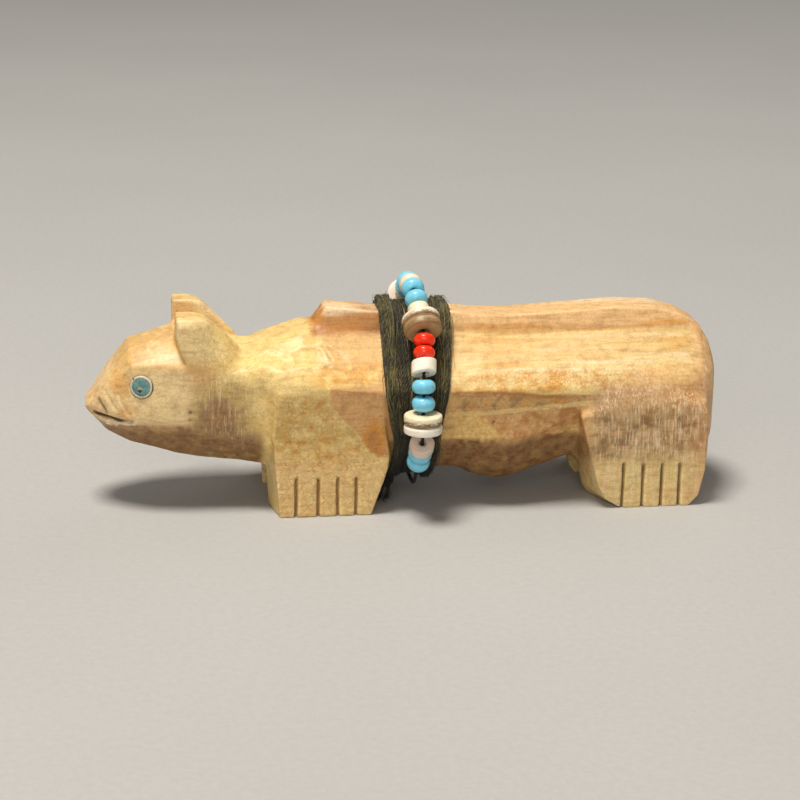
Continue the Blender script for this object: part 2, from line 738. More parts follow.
def paint_shoulder(stone):
    """Orange above, and a wedge of pinkish stone with a rusty edge at the wrap."""
    x, z, side, lay = stone.x, stone.z, stone.side, stone.lay
    warp, fine, grain, mottle = stone.warp, stone.fine, stone.grain, stone.mottle
    rear = stone.rear
    front = fade(x, -14.5, -12.5) * (1 - rear)
    upper = within(z + 0.35 * warp, 12.9, 14.6, 0.5) * fade(side, 4.0, 5.2)
    lay(ORANGE, 0.75 * front * upper * fade(x + warp, -10.5, -7.5) * fade(mottle, -0.7, 0.2))
    edge = np.interp(z, *WEDGE_EDGE)
    inside = x - edge + 0.3 * fine
    wedge = front * fade(inside, -0.06, 0.10) * fade(z + 0.2 * fine, 5.4, 5.8)
    wedge *= fade(z, 13.0, 12.5) * fade(side, 4.5, 6.0)
    lay(ROSE, 0.85 * wedge)
    lay(MAUVE, 0.5 * wedge * fade(mottle, 0.0, 0.45))
    rusty = blob(x, z, (-3.9, 7.3), (1.0, 1.7))
    lay(AMBER, 0.95 * wedge * fade(rusty + 0.25 * fine, 0.08, 0.5))
    lay(ORANGE, 0.5 * wedge * fade(rusty + 0.4 * mottle, 0.05, 0.45) * fade(rusty, 0.9, 0.4))
    mottled = front * fade(z, 12.6, 11.4) * fade(side, 5.2, 6.4) * (1 - wedge)
    lay(TAN, 0.45 * mottled * fade(z, 4.0, 6.5))
    lay(OLIVE, 0.6 * mottled * fade(warp + 0.6 * fine, -0.4, 0.5) * fade(z, 6.0, 8.5))
    lay(ORANGE, 0.6 * mottled * fade(mottle + 0.3 * grain, 0.0, 0.45))
    lay(BROWN, 0.5 * mottled * fade(mottle + 0.6 * grain, 0.3, 0.8) * fade(z, 3.0, 6.0))
    lay(CREAM, 0.65 * mottled * fade(mottle, -0.1, -0.45))
    lay(CREAM, 0.5 * mottled * fade(z, 6.5, 4.0))
    seam = front * np.exp(-(inside / 0.10) ** 2) * within(z, 5.8, 12.0, 0.3) * fade(side, 5.0, 6.2)
    lay(CREAM, 0.3 * seam)
    lay(PINK, 0.2 * mottled * fade(z, 6.5, 5.0))
    stone.mottled = mottled


def paint_tail(stone):
    """Pink and orange bands along the tail's side, with a paler top."""
    x, z, side, lay = stone.x, stone.z, stone.side, stone.lay
    fine, lengthwise, rear = stone.fine, stone.lengthwise, stone.rear
    tail = fade(z, 16.1, 16.9) * fade(side, 3.1, 2.5) * fade(x, -9.8, -8.8)
    lay(PINK, 0.7 * tail)
    lay(ORANGE, 0.65 * tail * fade(lengthwise + 0.5 * (1 - rear), -0.05, 0.4) * fade(z, 18.2, 17.5))
    lay(ROSE, 0.5 * tail * fade(z + 0.3 * fine, 17.2, 16.7))
    tail_front = tail * fade(x, 1.5, -1.0)
    lay(AMBER, 0.85 * tail_front * fade(z + 0.15 * fine, 18.85, 18.5))
    lay(BROWN, 0.4 * tail_front * fade(z + 0.25 * fine, 18.3, 17.3) * fade(x + fine, -6.0, -2.0))
    lay(CHALK, 0.5 * tail * fade(z, 17.9, 18.3) * fade(lengthwise, -0.2, 0.4))
    stone.tail = tail


def paint_flank(stone):
    """Behind the wrap: cream with lengthwise lines, a rusty band above the hollow, a paler ledge below it,
    and pink and rust under that."""
    x, z, side, lay = stone.x, stone.z, stone.side, stone.lay
    warp, fine, grain, mottle = stone.warp, stone.fine, stone.grain, stone.mottle
    lengthwise, upright = stone.lengthwise, stone.upright
    rear, tail = stone.rear, stone.tail
    slope = rear * within(z, 13.3, 16.6, 0.5) * (1 - tail)
    lay(CREAM, 0.5 * slope)
    lay(ORANGE, 0.5 * slope * fade(lengthwise, 0.05, 0.5))
    lay(CHALK, 0.5 * slope * fade(lengthwise, -0.1, -0.55))
    orange_side = rear * within(z, 11.8, 13.6, 0.4) * fade(x, 26.0, 20.0)
    lay(ORANGE, 0.8 * orange_side * fade(mottle + 0.5 * warp, -0.7, 0.3))
    lay(PINK, 0.5 * rear * within(z, 11.2, 13.6, 0.5) * fade(x, 18.0, 22.0))
    top = np.interp(x, *BAND_TOP)
    low = np.interp(x, *BAND_FOOT)
    outer = fade(side, 5.0, 6.2)
    band = rear * outer * within(z + 0.12 * fine, low, top, 0.12) * fade(x, 23.0, 19.5)
    lay(ROSE, 0.75 * band)
    lay(ORANGE, 0.75 * band * fade(mottle, 0.0, -0.4))
    lay(BROWN, 0.7 * band * fade(mottle + 0.5 * grain, 0.1, 0.55))
    lay(OLIVE, 0.4 * band * fade(fine, 0.1, 0.6))
    line = np.exp(-((z - top + 0.18 + 0.15 * fine) / 0.24) ** 2) * band
    lay(AMBER, 0.9 * line * fade(warp + 0.4 * mottle, -0.7, 0.1))
    lower = rear * outer * fade(z, low, low - 0.35) * fade(x, 18.0, 16.0)
    lay(ROSE, 0.8 * lower)
    lay(RUST, 0.65 * lower * fade(mottle, -0.05, 0.4))
    lay(PINK, 0.6 * lower * fade(mottle + 0.3 * grain, -0.1, -0.5))
    ledge = np.exp(-((z - low + 0.28) / 0.26) ** 2)
    lay(CREAM, 0.8 * lower * fade(ledge + 0.2 * fine, 0.35, 0.9))
    triangle = lower * fade(x + 1.1 * (z - 9.9) + 0.4 * fine, 6.3, 5.2)
    lay(BUTTER, 0.6 * triangle)
    belly = fade(z + 0.12 * fine, 7.4, 6.9) * fade(x, -2.0, 1.0) * fade(x, 17.5, 16.0)
    lay(ROSE, 0.6 * belly)
    lay(BROWN, 0.95 * belly * fade(z + 0.4 * fine, 7.5, 6.3))
    lay(RUST, 0.45 * belly * fade(mottle, -0.1, 0.3))
    lay(DARK, 0.5 * belly * fade(mottle + 0.4 * grain, -0.1, 0.5))
    lay(TAN, 0.3 * belly * fade(mottle + 0.3 * grain, -0.15, -0.5))
    lay(MAUVE, 0.25 * belly * fade(upright, 0.05, 0.35))
    stone.band, stone.belly, stone.lower, stone.outer = band, belly, lower, outer


def paint_haunch(stone):
    """Grey-brown and rusty clouds with chalky scratches, and pale feet."""
    x, z, lay = stone.x, stone.z, stone.lay
    warp, fine, grain, upright, mottle = stone.warp, stone.fine, stone.grain, stone.upright, stone.mottle
    outer = stone.outer
    haunch = fade(x + 0.4 * warp, 15.8, 18.2) * outer * fade(z + 0.4 * warp, 12.8, 11.4)
    upper_leg = haunch * fade(z + 0.7 * fine + 0.4 * warp, 3.6, 6.4)
    lay(MAUVE, 0.7 * upper_leg)
    rusty_clouds = upper_leg * fade(warp + 0.8 * mottle + (x - 23.5) / 7.0, -0.1, 0.9)
    lay(RUST, 0.65 * rusty_clouds)
    grey = upper_leg * fade(0.6 * warp + mottle - (z - 7.5) / 6.0 - (x - 22.0) / 12.0, 0.0, 0.9)
    lay(BROWN, 0.62 * grey)
    lay(BROWN, 0.4 * upper_leg * fade(mottle + 0.4 * grain, 0.25, 0.6))
    lay(PINK, 0.45 * upper_leg * fade(mottle + 0.3 * grain, -0.05, -0.5))
    lay(PINK, 0.3 * upper_leg * fade(z, 8.5, 11.0))
    lay(CHALK, 0.25 * upper_leg * fade(upright - 0.5 * mottle, 0.1, 0.5))
    foot = haunch * fade(z + 0.6 * fine + 0.4 * warp, 5.4, 3.6)
    lay(CREAM, 0.55 * foot)
    lay(PINK, 0.35 * foot * fade(fine, -0.2, 0.5))
    lay(OLIVE, 0.3 * foot * fade(fine, 0.1, -0.5))
    lay(CHALK, 0.3 * foot * fade(upright, -0.2, 0.6))
    rump = fade(x + 0.3 * warp, 26.3, 28.6)
    lay(PINK, 0.75 * rump)
    lay(ROSE, 0.4 * rump * fade(mottle, 0.0, 0.5) * fade(z, 13.0, 9.0))
    lay(CHALK, 0.4 * rump * fade(upright, 0.1, 0.6))
    stone.haunch, stone.upper_leg = haunch, upper_leg


def paint_top(stone):
    """The upper surfaces are warmer than the sides."""
    x, z, side, lay = stone.x, stone.z, stone.side, stone.lay
    warp, rear, tail = stone.warp, stone.rear, stone.tail
    warmer = fade(z + 0.3 * warp, 13.4, 15.0) * (1 - tail)
    lit = within(x, -20.6, -8.6, 1.0)
    lay(HONEY, warmer * (0.6 - 0.2 * rear - 0.48 * lit) * fade(x, 29.0, 25.0))
    lay(BUTTER, 0.4 * warmer * lit * fade(side, 3.0, 3.8))
    lay(PALE, 0.6 * fade(z, 14.6, 15.6) * fade(side, 3.4, 4.2) * fade(x, -16.5, -18.0))


def paint_scratches(stone):
    """Bright scratches where the wheel caught the stone."""
    x, z, points, lay = stone.x, stone.z, stone.points, stone.lay
    fine, grain, upright = stone.fine, stone.grain, stone.upright
    rear, head, outer = stone.rear, stone.head, stone.outer
    neck_lines = head * within(x, -19.5, -14.4, 0.6) * fade(upright, 0.05, 0.45)
    lay(PALE, 0.2 * neck_lines)
    forehead = within(x, -25.0, -21.6, 0.5) * fade(z, 14.4, 15.0) * fade(upright, 0.05, 0.5)
    lay(PALE, 0.5 * forehead)
    combed = layered(points, (0.34, 0.9, 1.5), 161, 2)
    dash = rear * outer * within(z + 0.5 * fine, 12.3, 13.9, 0.2) * fade(x, 25.0, 21.0)
    lay(PALE, 0.3 * dash * fade(combed, 0.0, 0.35))
    for crest in CRESTS + STREAKS:
        away = line_distance(points, crest)[0] + 0.12 * fine
        lay(PALE, 0.6 * fade(away, 0.30, 0.05) * fade(grain, -0.6, 0.3))
    lay(PALE, 0.45 * fade(line_distance(points, SNOUT_SCRATCH)[0] + 0.1 * grain, 0.26, 0.10))
    for lip in (LIP_LINE, mirrored(LIP_LINE)):
        lay(CHALK, 0.75 * fade(line_distance(points, lip)[0] + 0.45 * grain, 0.42, 0.10))
    stone.dash = dash


def paint_dirt(stone):
    """Worn edges are paler, and dirt gathers in the hollows, the pits, the mouth and between the toes."""
    points, lay = stone.points, stone.lay
    lay(PALE, 0.5 * fade(stone.proud, 0.035, 0.11) * fade(stone.fine, -0.7, 0.4))
    lay(BROWN, 0.45 * fade(-stone.proud, 0.03, 0.12))
    dirt = toe_cut_share(points) * (0.3 + 0.3 * stone.rear)
    for line, width, depth in ((MOUTH_LINE, 0.14, 1.0), (mirrored(MOUTH_LINE), 0.14, 1.0),
                               (NOSTRIL_LINE, 0.09, 0.6), (mirrored(NOSTRIL_LINE), 0.09, 0.6)):
        away, along = line_distance(points + 0.09 * speckle(points, 0.6, 197)[:, None], line)
        width = width * (1.0 + 0.7 * speckle(points, 0.7, 191)) * fade(along, 1.0, 0.6)
        lay(BROWN, 0.6 * depth * fade(away, 0.4, 0.1) * fade(along, 1.0, 0.8))
        dirt = np.maximum(dirt, depth * fade(away, width * 1.5 + 0.02, width * 0.6))
    for place, radius, depth in PITS:
        away = distance(points, place)
        dirt = np.maximum(dirt, min(1.0, depth * 5) * fade(away, radius * 1.25, radius * 0.5))
    lay(DARK, 0.85 * dirt)


def paint_stone(mesh, points, proud):
    """Stores the stone's bands and clouds as a colour for each vertex, and where it is scored or mottled."""
    stone = StonePaint(points, proud)
    stone.lay(BUTTER, 0.5 * fade(stone.warp, -0.3, 0.5))
    stone.lay(TAN, 0.3 * fade(stone.fine + 0.4 * stone.warp, 0.1, 0.8))
    for paint in (paint_head, paint_shoulder, paint_tail, paint_flank, paint_haunch, paint_top,
                  paint_scratches, paint_dirt):
        paint(stone)

    data = np.column_stack([np.clip(stone.colour, 0, 1), np.ones(len(points))])
    mesh.attributes.new("stone_colour", "FLOAT_COLOR", "POINT").data.foreach_set(
        "color", data.astype(np.float32).ravel())
    neck_filed = stone.head * within(stone.x, -20.2, -14.4, 0.5)
    leg_filed = 0.35 * stone.haunch + 0.65 * stone.upper_leg
    filed = np.maximum.reduce([0.6 * neck_filed, leg_filed, stone.dash])
    write_values(mesh, "stone_scored", fade(stone.side, 3.6, 5.0) * filed)
    write_values(mesh, "stone_mottled", np.maximum.reduce(
        [stone.mottled, 0.9 * stone.upper_leg, 0.9 * stone.band, 0.8 * stone.lower, 0.6 * stone.neck,
         stone.belly, stone.under]))


def stone_finish():
    """Ground travertine: clouded colour with fine grain, faint file marks and a dull polish."""
    finish = Finish("stone")
    colour = finish.attribute("stone_colour", "Color")
    cloud = finish.noise(0.9, 4.0, 0.6)
    grain = finish.noise(0.16, 3.0, 0.6)
    veins = finish.noise(0.35, 4.0, 0.62, stretch=(7.0, 1.0, 1.0), distortion=0.4)
    marks = finish.noise(0.13, 2.0, 0.6, stretch=(1.0, 1.0, 11.0))
    scored = finish.attribute("stone_scored")
    mottled = finish.attribute("stone_mottled")
    cracks = finish.cracks(0.75, 1.1)
    clouded = [(0.30, (0.60, 0.52, 0.40)), (0.50, (0.98, 0.97, 0.95)), (0.72, (1.12, 1.12, 1.10))]
    veined = [(0.34, (0.70, 0.56, 0.42)), (0.50, (1.0, 1.0, 1.0)), (0.70, (1.10, 1.10, 1.08))]
    grained = [(0.32, (0.62, 0.54, 0.44)), (0.52, (1.0, 1.0, 1.0)), (0.74, (1.15, 1.15, 1.12))]
    for share, pattern, stops in ((0.5, cloud, clouded), (0.45, veins, veined), (0.45, grain, grained)):
        colour = finish.mix(share, colour, finish.ramp(pattern, stops), "MULTIPLY")
    in_crack = finish.times(finish.between(cracks, 0.0, 0.11, 1.0, 0.0), mottled)
    in_crack = finish.times(in_crack, finish.between(cloud, 0.42, 0.58))
    colour = finish.mix(finish.times(in_crack, 0.55), colour, (0.34, 0.16, 0.05))
    patchy = finish.times(scored, finish.between(cloud, 0.38, 0.56, 0.35, 1.0))
    light_marks = finish.times(finish.between(marks, 0.54, 0.66), patchy)
    dark_marks = finish.times(finish.between(marks, 0.48, 0.36), patchy)
    colour = finish.mix(finish.times(dark_marks, 0.3), colour, tuple(BROWN))
    colour = finish.mix(finish.times(light_marks, 0.6), colour, tuple(CHALK))
    finish.set(Base_Color=colour)
    finish.set(Roughness=finish.between(finish.plus(grain, light_marks), 0.35, 1.1, 0.42, 0.62))
    height = finish.plus(finish.times(grain, 0.35), finish.times(veins, 0.30))
    height = finish.plus(height, finish.times(marks, finish.between(scored, 0, 1, 0.12, 0.6)))
    height = finish.math("SUBTRACT", height, finish.times(in_crack, 0.3))
    finish.relief(height, 0.05, 0.8)
    finish.set(Subsurface_Weight=0.15, Subsurface_Scale=0.8 * MM, Subsurface_Radius=(1.0, 0.62, 0.34))
    finish.set(Specular_IOR_Level=0.5)
    return finish.material


def make_stone():
    mesh = remeshed_stone()
    points, proud = shape_stone(mesh)
    paint_stone(mesh, points, proud)
    mesh.transform(Matrix.Scale(MM, 4))
    mesh.name = "lion_stone"
    finish_piece("lion_stone", mesh, stone_finish(), "carving", ["stone_body"])


# ---------------- the eyes

# The radius of the cement ring round each eye, in millimetres, and where the inlay's face is chipped.
CEMENT_RADIUS = 1.09
EYE_PITS = {"left": (-0.12, -0.24), "right": (-0.25, 0.2)}


def eye_place(side):
    """A place with its Z out of the eye, its Y upwards and its origin at the middle of the inlay's face,
    and the inlay's radius."""
    points = node_points(f"eye_inlay_{side}")
    middle = points.mean(0)
    away = points - middle
    outwards = np.linalg.eigh(away.T @ away)[1][:, 0]
    outwards *= np.sign(outwards[1]) * np.sign(middle[1])
    heights = away @ outwards
    radius = np.linalg.norm(away - heights[:, None] * outwards, axis=1).max()
    up = unit(np.array((0, 0, 1.0)) - outwards[2] * outwards)
    turned = Matrix(np.column_stack([np.cross(up, outwards), up, outwards]).tolist()).to_4x4()
    return Matrix.Translation(Vector((middle + outwards * heights.max()) * MM)) @ turned, radius


def domed_disc(radius, heights, skirt):
    """A disc with a skirt, whose face follows a function of (x, y)."""
    rings, sides = 14, 48
    angle = circle(sides)
    rows = []
    for share in np.linspace(0.02, 1.0, rings):
        x, y = share * radius * np.cos(angle), share * radius * np.sin(angle)
        rows.append(np.column_stack([x, y, heights(x, y)]))
    rim = rows[-1].copy()
    rim[:, 2] = -skirt
    rows.append(rim)
    return np.vstack(rows), grid_faces(len(rows), sides) + end_faces(len(rows), sides)


def turquoise_finish():
    """Matt blue stone with darker clouds, and a chip that shows tan matrix over a dark hole."""
    finish = Finish("turquoise")
    cloud = finish.noise(0.5, 4.0, 0.6)
    spots = finish.noise(0.2, 3.0, 0.55)
    pit = finish.attribute("pit")
    depth = finish.attribute("depth")
    blues = [(0.28, (0.035, 0.13, 0.15)), (0.5, (0.11, 0.26, 0.27)), (0.72, (0.26, 0.40, 0.34))]
    colour = finish.ramp(cloud, blues)
    colour = finish.mix(finish.between(spots, 0.64, 0.78, 0.0, 0.6), colour, (0.30, 0.42, 0.38))
    chip = finish.mix(finish.between(depth, -0.02, 0.06), (0.52, 0.42, 0.22), (0.03, 0.025, 0.015))
    colour = finish.mix(finish.between(pit, 0.35, 0.55), colour, chip)
    finish.set(Base_Color=colour, Roughness=0.32)
    finish.relief(spots, 0.03, 0.6)
    return finish.material


def cement_finish():
    finish = Finish("eye_cement")
    grain = finish.noise(0.14, 3.0, 0.6)
    edge = finish.attribute("edge")
    colour = finish.ramp(grain, [(0.3, (0.42, 0.36, 0.22)), (0.6, (0.74, 0.66, 0.46))])
    darkened = finish.plus(edge, finish.times(finish.math("SUBTRACT", grain, 0.5), 0.5))
    colour = finish.mix(finish.between(darkened, 0.45, 0.75), colour, (0.04, 0.032, 0.02))
    finish.set(Base_Color=colour, Roughness=0.65)
    finish.relief(grain, 0.03, 0.6)
    return finish.material


def make_inlay(side, place, radius, finish, seed):
    """A worn turquoise disc: a low dome with rounded edges, and a chipped pit."""
    pit = EYE_PITS[side]

    def face(x, y):
        rho = np.hypot(x, y) / radius
        uneven = speckle(np.column_stack([x, y, 0 * x]), 0.3, seed)
        hole = blob(x, y, (pit[0], pit[1] - 0.1), (0.18, 0.16))
        return 0.03 * (1 - rho ** 4) - 0.06 * fade(rho, 0.85, 1.0) + 0.015 * uneven - 0.09 * hole

    points, faces = domed_disc(radius, face, 0.4)
    shape = Shape()
    x, y = points[:, :2].T
    shape.add(points, faces, pit=blob(x, y, pit, (0.26, 0.32)), depth=pit[1] - y)
    shape.piece(f"eye_stone_{side}", finish, "carving", [f"eye_inlay_{side}"], place)


def make_cement(side, place, radius, finish, seed):
    """The pale ring of cement round an inlay, dark where it meets the stone, most of all below."""
    profile = np.array([(radius - 0.06, -0.4), (radius - 0.06, -0.07), (radius + 0.02, -0.01),
                        (CEMENT_RADIUS - 0.10, -0.01), (CEMENT_RADIUS, -0.09), (CEMENT_RADIUS, -0.4)])
    points, faces = lathed(profile, 64)
    x, y = points[:, :2].T
    rho = np.hypot(x, y)
    share = (rho - radius) / (CEMENT_RADIUS - radius)
    below = (0.5 * x - 0.85 * y) / rho
    dark = fade(share, 0.45, 0.95) * (0.35 + 0.65 * fade(below, -0.3, 0.6))
    dot = blob(x, y, (-0.72, 0.74), (0.13, 0.13))
    points[:, 2] += 0.02 * speckle(points, 0.35, seed) - 0.05 * dark
    shape = Shape()
    shape.add(points, faces, edge=np.clip(np.maximum(dark, dot), 0, 1))
    shape.piece(f"eye_ring_{side}", finish, "carving", [f"eye_cement_{side}"], place)


def make_eyes():
    turquoise, cement = turquoise_finish(), cement_finish()
    for side, seed in (("left", 3), ("right", 5)):
        place, radius = eye_place(side)
        make_inlay(side, place, radius, turquoise, seed)
        make_cement(side, place, radius, cement, seed + 20)


# ---------------- the beads

def lathed(profile, sides, closed=True):
    """A surface turned about Z from a profile of (radius, height) points, which may be closed."""
    angle = circle(sides)
    radius, height = profile[:, 0][:, None], profile[:, 1][:, None]
    points = np.stack([radius * np.cos(angle), radius * np.sin(angle), height + 0 * angle], axis=-1)
    return points.reshape(-1, 3), grid_faces(len(profile), sides, closed)


def bead_profile(length, outer, hole, rim, squareness):
    """Half a bead's section. squareness is 1 for a round side and near 0 for a square one."""
    t = np.linspace(-math.pi / 2, math.pi / 2, 181)
    swing = np.sign(np.sin(t)) * np.abs(np.sin(t)) ** squareness
    side = np.column_stack([rim + (outer - rim) * np.cos(t).clip(0) ** squareness, length / 2 * swing])
    lip = min(0.1, length / 6)
    inner = np.array([(hole, length / 2 - lip), (hole, 0.0), (hole, lip - length / 2)])
    return np.vstack([resample(side, 34, False), inner])


# Each kind: how square its side is (1 for a round side), where its flat end starts as a share of its radius,
# how many sides it is turned in, and how uneven it is.
TURNED = {
    "blue": (1.0, 0.42, 40, 0.03),
    "red": (1.0, 0.42, 40, 0.03),
    "white": (0.8, 0.50, 40, 0.02),
    "small_tube": (0.30, 0.50, 48, 0.05),
    "short_tube": (0.26, 0.50, 56, 0.06),
    "tube": (0.22, 0.50, 56, 0.08),
    "disc": (0.34, 0.34, 72, 0.06),
}

# The radius of the hole through each kind of bead, in millimetres.
HOLE = {"disc": 0.40, "tube": 0.36, "short_tube": 0.32, "small_tube": 0.36}
SEED_HOLE = 0.34

# How far a bead lies inside its CAD shape, how far its end may reach past it, the clearance that it keeps,
# and the radius where a seed bead's round end would touch its neighbour.
BEAD_INSET = 0.01
END_REACH = 0.14
END_CLEARANCE = 0.012
SEED_END_RADIUS = 0.62


def glass_finish(name, colour, deep):
    """Opaque glass: an even body colour, slightly deeper in streaks round the bead, under a gloss."""
    finish = Finish(name)
    swirl = finish.noise(0.8, 3.0, 0.5, stretch=(1, 1, 0.4))
    speck = finish.noise(0.12, 2.0, 0.5)
    body = finish.mix(finish.between(swirl, 0.35, 0.7, 0.0, 0.55), colour, deep)
    finish.set(Base_Color=body, Roughness=finish.between(speck, 0.3, 0.8, 0.24, 0.38))
    finish.relief(finish.noise(0.6, 2.0, 0.5), 0.02, 0.5)
    finish.set(Coat_Weight=0.35, Coat_Roughness=0.05, Specular_IOR_Level=0.4)
    finish.set(Subsurface_Weight=0.12, Subsurface_Scale=0.4 * MM, Subsurface_Radius=(0.6, 0.6, 0.6))
    return finish.material


def shell_finish(name, colour, warm, line, rim):
    """Ground shell: growth layers across the bead, a satin surface, and a burnt rim of some strength."""
    finish = Finish(name)
    layers = finish.noise(0.22, 3.0, 0.6, stretch=(9, 9, 1), distortion=0.3)
    cloud = finish.noise(0.9, 3.0, 0.55)
    grain = finish.noise(0.10, 2.0, 0.5)
    body = finish.mix(finish.between(cloud, 0.35, 0.7, 0.0, 0.8), colour, warm)
    body = finish.mix(finish.between(layers, 0.55, 0.72, 0.0, 0.5), body, line)
    burnt = finish.attribute("burnt")
    spots = finish.noise(0.35, 3.0, 0.6, stretch=(1.6, 1.6, 0.6))
    share = finish.times(burnt, finish.between(spots, 0.42, 0.50))
    body = finish.mix(finish.times(share, rim), body, (0.05, 0.028, 0.012))
    body = finish.mix(finish.times(finish.attribute("brown"), 0.85), body, line)
    finish.set(Base_Color=body, Roughness=finish.between(grain, 0.3, 0.7, 0.36, 0.52))
    height = finish.plus(finish.times(layers, 0.6), finish.times(grain, 0.4))
    finish.relief(height, 0.03, 0.6)
    finish.set(Subsurface_Weight=0.12, Subsurface_Scale=0.5 * MM, Subsurface_Radius=(1.0, 0.8, 0.55))
    return finish.material


def bead_finishes():
    cream_line, white_line = (0.38, 0.23, 0.08), (0.70, 0.56, 0.42)
    pink_line, tan_line = (0.56, 0.38, 0.28), (0.36, 0.20, 0.08)
    return {
        "blue": glass_finish("blue_glass", (0.22, 0.66, 0.84), (0.16, 0.54, 0.73)),
        "red": glass_finish("red_glass", (0.98, 0.036, 0.003), (0.86, 0.02, 0.003)),
        "white": glass_finish("white_glass", (0.82, 0.77, 0.60), (0.74, 0.67, 0.50)),
        "cream": shell_finish("shell_cream", (0.88, 0.80, 0.56), (0.82, 0.70, 0.46), cream_line, 1.0),
        "white_shell": shell_finish("shell_white", (0.93, 0.87, 0.73), (0.87, 0.78, 0.63), white_line, 0.5),
        "pink_shell": shell_finish("shell_pink", (0.76, 0.64, 0.54), (0.70, 0.55, 0.44), pink_line, 0.4),
        "blush_shell": shell_finish("shell_blush", (0.90, 0.80, 0.61), (0.84, 0.66, 0.46), tan_line, 0.8),
        "tan_shell": shell_finish("shell_tan", (0.46, 0.30, 0.14), (0.30, 0.18, 0.07), tan_line, 0.8),
    }


# Which finish each shell bead has, by its number down the strand. Where a disc is burnt brown, it is on its
# far end (+1) or near end (-1) along the string.
SHELLS = {4: "cream", 5: "pink_shell", 6: "tan_shell", 9: "white_shell", 12: "cream", 13: "white_shell",
          14: "pink_shell", 19: "pink_shell", 20: "white_shell", 21: "cream", 24: "white_shell",
          27: "tan_shell", 28: "blush_shell", 29: "cream"}
BROWN_FACE = {5: 1, 6: 1, 12: 1, 21: -1, 27: -1, 28: -1}
# The tubes that were cut aslant, as (how far the ends slope, which way, where the lower end is notched, and
# how deep).
ASLANT = {24: (0.14, math.pi / 2, 0.25, 0.03), 9: (0.10, 0.8, -0.15, 0.03)}


def bead_place(joint):
    """The bead's own axes: Z along the string, and X away from the animal's middle."""
    axis = unit(np.array(joint["axis"], float))
    centre = np.array(joint["pos_m"], float)
    outwards = centre - STRAND_MIDDLE * MM
    outwards -= axis * np.dot(outwards, axis)
    outwards = unit(outwards)
    across = np.cross(axis, outwards)
    columns = np.column_stack([outwards, across, axis, centre])
    return Matrix(columns.tolist() + [[0, 0, 0, 1]])


def local_points(name, place):
    """A CAD node's vertices in a place's own axes, in millimetres."""
    local = np.array(place.inverted())
    return node_points(name) @ local[:3, :3].T + local[:3, 3] / MM


def bead_room(here, there, ends):
    """How far a bead's end may reach out towards its neighbour's, so that the two nearly touch. ends gives
    each bead's half length and the radius of its end."""
    first, second = (np.array(joint["pos_m"], float) / MM for joint in (here, there))
    turn = math.acos(min(1.0, float(np.dot(here["axis"], there["axis"]))))
    (half_here, radius_here), (half_there, radius_there) = ends[here["child"]], ends[there["child"]]
    gap = np.linalg.norm(second - first) - half_here - half_there
    lost = min(radius_here, radius_there) * math.tan(turn / 2)
    return min(END_REACH, max(0.0, gap / 2 - lost - END_CLEARANCE))


def make_bead(joint, finishes, rooms):
    """One bead, turned a little unevenly, whose ends reach out by the rooms: (near end, far end)."""
    name = joint["child"]
    number, kind = int(name.split("_")[1]), name.split("_", 2)[2]
    place = bead_place(joint)
    points = local_points(name, place)
    length = np.ptp(points[:, 2]) - 2 * BEAD_INSET
    outer = np.hypot(points[:, 0], points[:, 1]).max() - BEAD_INSET
    squareness, rim_share, sides, uneven = TURNED[kind]
    hole = HOLE.get(kind, SEED_HOLE)
    rim = max(hole + 0.07, rim_share * outer)
    slant = uneven * (0.3 + 0.7 * rng.random())
    lean = rng.random() * 2 * math.pi
    slant, lean, notch, cut = ASLANT.get(number, (slant, lean, 0.0, 0.0))
    points, faces = lathed(bead_profile(length - 2 * slant, outer, hole, rim, squareness), sides)
    radius = np.hypot(points[:, 0], points[:, 1])
    lump = 0.5 + 0.5 * layered(points + 40.0 * number, 1.0, 200 + number, 2)
    points[:, :2] *= (1 - uneven * lump * 0.6 * fade(radius, hole + 0.02, outer))[:, None]
    facing = fade(points[:, 0], 0.1, 0.5) * np.exp(-((points[:, 1] - notch) / 0.35) ** 2)
    points[:, 2] += cut * facing * fade(points[:, 2], 0.0, -length / 3)
    tilt = slant * (points[:, 0] * math.cos(lean) + points[:, 1] * math.sin(lean)) / outer
    ends = fade(np.abs(points[:, 2]), 0.0, length / 2)
    rough = 0.3 * uneven * layered(points + 9.0 * number, 0.5, 300 + number, 2)
    points[:, 2] = np.clip(points[:, 2] + (tilt + rough) * ends, -length / 2, length / 2)
    reach = np.where(points[:, 2] > 0, rooms[1], rooms[0])
    points[:, 2] *= 1 + 2 * reach / length
    faced = BROWN_FACE.get(number, 0)
    burnt, brown = 0 * radius, 0 * radius
    if faced:
        edge = fade(radius, outer - 0.26, outer - 0.10)
        burnt = edge * fade(points[:, 2] * faced, -length * 0.10, length * 0.20)
        brown = edge * fade(points[:, 2] * faced, length * 0.12, length * 0.30)
    shape = Shape()
    shape.add(points, faces, burnt=burnt, brown=brown)
    look = finishes[SHELLS.get(number, kind)]
    shape.piece(f"{name}_bead", look, name, [name], place)


def make_beads():
    """Every bead of the strand, in order from the white one at the top."""
    joints = sorted(frame["joints"], key=lambda joint: joint["child"])
    ends = {}
    for joint in joints:
        points = local_points(joint["child"], bead_place(joint))
        flat = "tube" in joint["child"] or "disc" in joint["child"]
        end_radius = np.hypot(points[:, 0], points[:, 1]).max() if flat else SEED_END_RADIUS
        ends[joint["child"]] = np.ptp(points[:, 2]) / 2, end_radius
    finishes = bead_finishes()
    for i, joint in enumerate(joints):
        neighbours = joints[i - 1], joints[(i + 1) % len(joints)]
        make_bead(joint, finishes, [bead_room(joint, other, ends) for other in neighbours])


